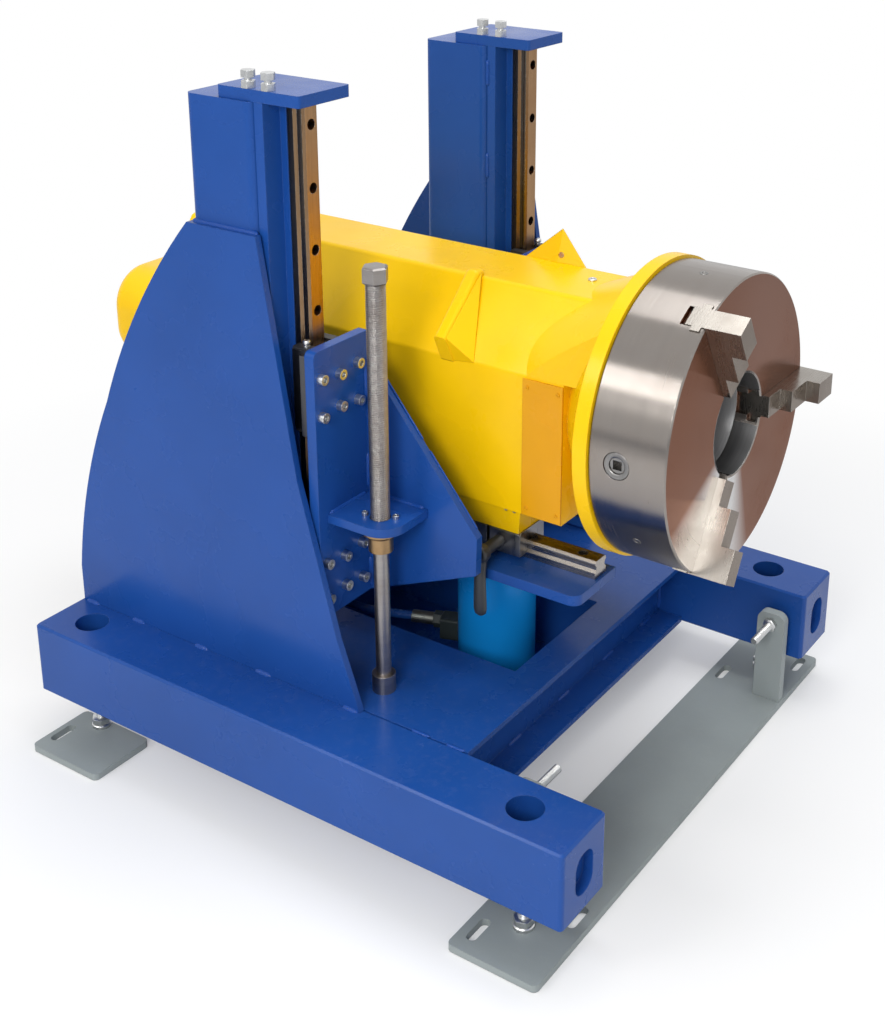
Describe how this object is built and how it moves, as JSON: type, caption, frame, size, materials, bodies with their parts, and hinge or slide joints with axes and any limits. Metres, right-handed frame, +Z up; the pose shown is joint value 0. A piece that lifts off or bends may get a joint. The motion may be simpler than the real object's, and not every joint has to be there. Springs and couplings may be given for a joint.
{
  "type": "pipe welding positioner",
  "caption": "Floor-standing pipe welding positioner: a spindle-followed hydraulic lift carries a sliding head with a large scroll chuck between two guide columns.",
  "frame": {"origin": "on the floor, under the middle of the machine's length and width", "axes": "+X along the chuck axis toward the workpiece, +Y to the far side, +Z up"},
  "size_m": [1.067, 0.88, 1.017],
  "materials": {
    "frame_blue": "gloss enamel",
    "plate_grey": "satin primer",
    "rail_steel": "ground",
    "block_steel": "ground",
    "bolt_steel": "zinc plated",
    "spindle_steel": "turned",
    "bronze": "turned bronze",
    "cylinder_blue": "gloss enamel",
    "rod_chrome": "hard chrome",
    "valve_dark": "oiled",
    "ferrule_grey": "crimped",
    "hose_blue": "satin",
    "head_yellow": "gloss enamel",
    "cover_amber": "gloss enamel",
    "motor_grey": "satin",
    "bearing_steel": "ground",
    "lever_black": "satin",
    "chuck_steel": "turned",
    "jaw_steel": "ground",
    "pinion_steel": "turned"
  },
  "bodies": {
    "base": {"beam_left": "frame_blue", "beam_right": "frame_blue", "deck_plate": "frame_blue", "crossmembers": "frame_blue", "cylinder_pit": "frame_blue", "column_left": "frame_blue", "column_right": "frame_blue", "rail_bars": "frame_blue", "column_rail_left": "rail_steel", "column_rail_right": "rail_steel", "gusset_left": "frame_blue", "gusset_right": "frame_blue", "top_plates": "frame_blue", "top_bolts": "bolt_steel", "spindle_foot": "spindle_steel", "cylinder_barrel": "cylinder_blue", "lift_valve": "valve_dark", "hose": "hose_blue", "hose_ferrules": "ferrule_grey", "front_foot_plate": "plate_grey", "rear_foot_plates": "plate_grey", "levelling_studs": "bolt_steel", "side_brackets": "plate_grey"},
    "carriage": {"carriage_plate_left": "frame_blue", "carriage_plate_right": "frame_blue", "runner_blocks": "block_steel", "side_plate_left": "frame_blue", "side_plate_right": "frame_blue", "nut_bracket": "frame_blue", "spindle_nut": "bronze", "carriage_screws": "bolt_steel", "cross_beam": "frame_blue", "bed_plate": "frame_blue", "bed_rails": "rail_steel", "lift_rod": "rod_chrome"},
    "lift_stage": {"lift_stage": "rod_chrome"},
    "spindle": {"spindle": "spindle_steel"},
    "head": {"head_housing": "head_yellow", "front_flange": "head_yellow", "main_bearings": "bearing_steel", "side_covers": "cover_amber", "lug_near": "head_yellow", "lug_far": "head_yellow", "rear_cover": "head_yellow", "gear_motor": "motor_grey", "bed_blocks": "block_steel", "clamp_block": "block_steel"},
    "clamp_lever": {"clamp_lever": "lever_black"},
    "chuck": {"chuck_body": "chuck_steel", "main_shaft": "bearing_steel"},
    "drive": {"drive_pinion": "bearing_steel"},
    "scroll": {"scroll_plate": "bearing_steel"},
    "jaw_1": {"jaw_1": "jaw_steel"},
    "jaw_2": {"jaw_2": "jaw_steel"},
    "jaw_3": {"jaw_3": "jaw_steel"},
    "pinion_1": {"pinion_1": "pinion_steel"},
    "pinion_2": {"pinion_2": "pinion_steel"},
    "pinion_3": {"pinion_3": "pinion_steel"},
    "side_screw_left": {"side_screw_left": "bolt_steel"},
    "side_screw_right": {"side_screw_right": "bolt_steel"}
  },
  "joints": [
    {"name": "lift", "type": "slide", "parent": "base", "child": "carriage", "axis": [0, 0, 1], "range_m": [0, 0.3]},
    {"name": "lift_stage_slide", "type": "slide", "parent": "base", "child": "lift_stage", "axis": [0, 0, 1], "range_m": [0, 0.151]},
    {"name": "spindle_turn", "type": "hinge", "parent": "base", "child": "spindle", "pos_m": [0.1035, -0.246, 0.2], "axis": [0, 0, 1], "range_deg": [-18010, 10]},
    {"name": "head_slide", "type": "slide", "parent": "carriage", "child": "head", "axis": [1, 0, 0], "range_m": [-0.09, 0.1]},
    {"name": "clamp_turn", "type": "hinge", "parent": "head", "child": "clamp_lever", "pos_m": [0.2, -0.13, 0.38], "axis": [0, 1, 0], "range_deg": [-90, 90]},
    {"name": "chuck_spin", "type": "hinge", "parent": "head", "child": "chuck", "pos_m": [0.4, 0, 0.581], "axis": [1, 0, 0], "continuous": true},
    {"name": "drive_spin", "type": "hinge", "parent": "head", "child": "drive", "pos_m": [0.07, 0, 0.4707], "axis": [1, 0, 0], "continuous": true},
    {"name": "scroll_turn", "type": "hinge", "parent": "chuck", "child": "scroll", "pos_m": [0.44, 0, 0.581], "axis": [1, 0, 0], "range_deg": [-1600, 530]},
    {"name": "jaw_1_slide", "type": "slide", "parent": "chuck", "child": "jaw_1", "axis": [0, 1, 0], "range_m": [-0.045, 0.015]},
    {"name": "jaw_2_slide", "type": "slide", "parent": "chuck", "child": "jaw_2", "axis": [0, -0.5, 0.866], "range_m": [-0.045, 0.015]},
    {"name": "jaw_3_slide", "type": "slide", "parent": "chuck", "child": "jaw_3", "axis": [0, -0.5, -0.866], "range_m": [-0.045, 0.015]},
    {"name": "pinion_1_turn", "type": "hinge", "parent": "chuck", "child": "pinion_1", "pos_m": [0.4215, 0.075, 0.7109], "axis": [0, 0.5, 0.866], "range_deg": [-16010, 5310]},
    {"name": "pinion_2_turn", "type": "hinge", "parent": "chuck", "child": "pinion_2", "pos_m": [0.4215, -0.15, 0.581], "axis": [0, -1, 0], "range_deg": [-16010, 5310]},
    {"name": "pinion_3_turn", "type": "hinge", "parent": "chuck", "child": "pinion_3", "pos_m": [0.4215, 0.075, 0.4511], "axis": [0, 0.5, -0.866], "range_deg": [-16010, 5310]},
    {"name": "side_screw_left_feed", "type": "slide", "parent": "base", "child": "side_screw_left", "axis": [0, 1, 0], "range_m": [0, 0.02]},
    {"name": "side_screw_right_feed", "type": "slide", "parent": "base", "child": "side_screw_right", "axis": [0, -1, 0], "range_m": [0, 0.02]}
  ],
  "couplings": [
    {"joint": "lift_stage_slide", "follows": "lift", "ratio": 0.5},
    {"joint": "spindle_turn", "follows": "lift", "rad_per_m": -1047.2},
    {"joint": "drive_spin", "follows": "chuck_spin", "ratio": -4},
    {"joint": "jaw_1_slide", "follows": "scroll_turn", "m_per_rad": 0.0015915},
    {"joint": "jaw_2_slide", "follows": "scroll_turn", "m_per_rad": 0.0015915},
    {"joint": "jaw_3_slide", "follows": "scroll_turn", "m_per_rad": 0.0015915},
    {"joint": "pinion_1_turn", "follows": "scroll_turn", "ratio": 10},
    {"joint": "pinion_2_turn", "follows": "scroll_turn", "ratio": 10},
    {"joint": "pinion_3_turn", "follows": "scroll_turn", "ratio": 10}
  ]
}
